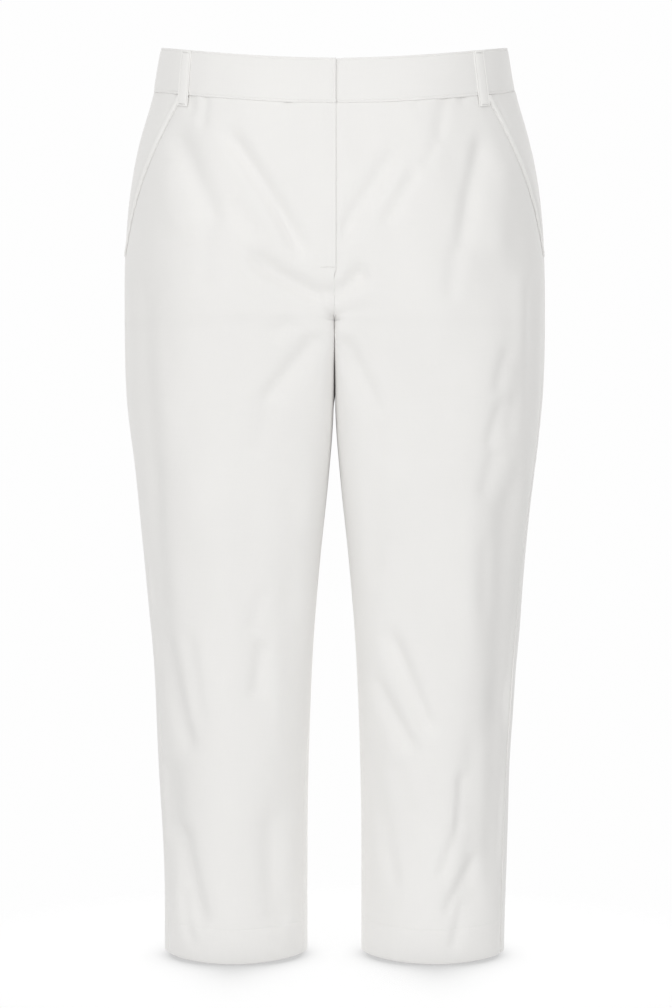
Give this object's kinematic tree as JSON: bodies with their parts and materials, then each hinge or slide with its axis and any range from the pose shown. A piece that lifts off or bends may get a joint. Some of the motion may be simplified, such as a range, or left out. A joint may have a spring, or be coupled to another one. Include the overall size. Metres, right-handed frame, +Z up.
{
  "type": "straight-leg ankle trousers",
  "caption": "Ankle-length straight-leg trousers filled out as if worn, with a waistband, belt loops, fly front and slanted pockets, open at the waist and both hems.",
  "frame": {"origin": "centre of the waist opening, at half the waistband's height at the side seams, where the wearer's waist holds the trousers up", "axes": "+Z up along the body, +X to the wearer's left, +Y to the back"},
  "size_m": [0.4588, 0.3271, 0.9962],
  "materials": {
    "front_left": "matte",
    "front_right": "matte",
    "back_left": "matte",
    "back_right": "matte",
    "pocket_edge_left": "matte",
    "pocket_edge_right": "matte",
    "pocket_facing_left": "matte",
    "pocket_facing_right": "matte",
    "fly_shield": "matte",
    "waistband_front_left": "matte",
    "waistband_front_right": "matte",
    "waistband_back": "matte",
    "belt_loop_front_left": "matte",
    "belt_loop_front_right": "matte",
    "belt_loop_back_left": "matte",
    "belt_loop_back_right": "matte",
    "belt_loop_centre_back": "matte"
  },
  "bodies": {
    "root": {"front_left": "front_left", "front_right": "front_right", "back_left": "back_left", "back_right": "back_right", "pocket_edge_left": "pocket_edge_left", "pocket_edge_right": "pocket_edge_right", "pocket_facing_left": "pocket_facing_left", "pocket_facing_right": "pocket_facing_right", "fly_shield": "fly_shield", "waistband_front_left": "waistband_front_left", "waistband_front_right": "waistband_front_right", "waistband_back": "waistband_back", "belt_loop_front_left": "belt_loop_front_left", "belt_loop_front_right": "belt_loop_front_right", "belt_loop_back_left": "belt_loop_back_left", "belt_loop_back_right": "belt_loop_back_right", "belt_loop_centre_back": "belt_loop_centre_back"}
  },
  "joints": []
}
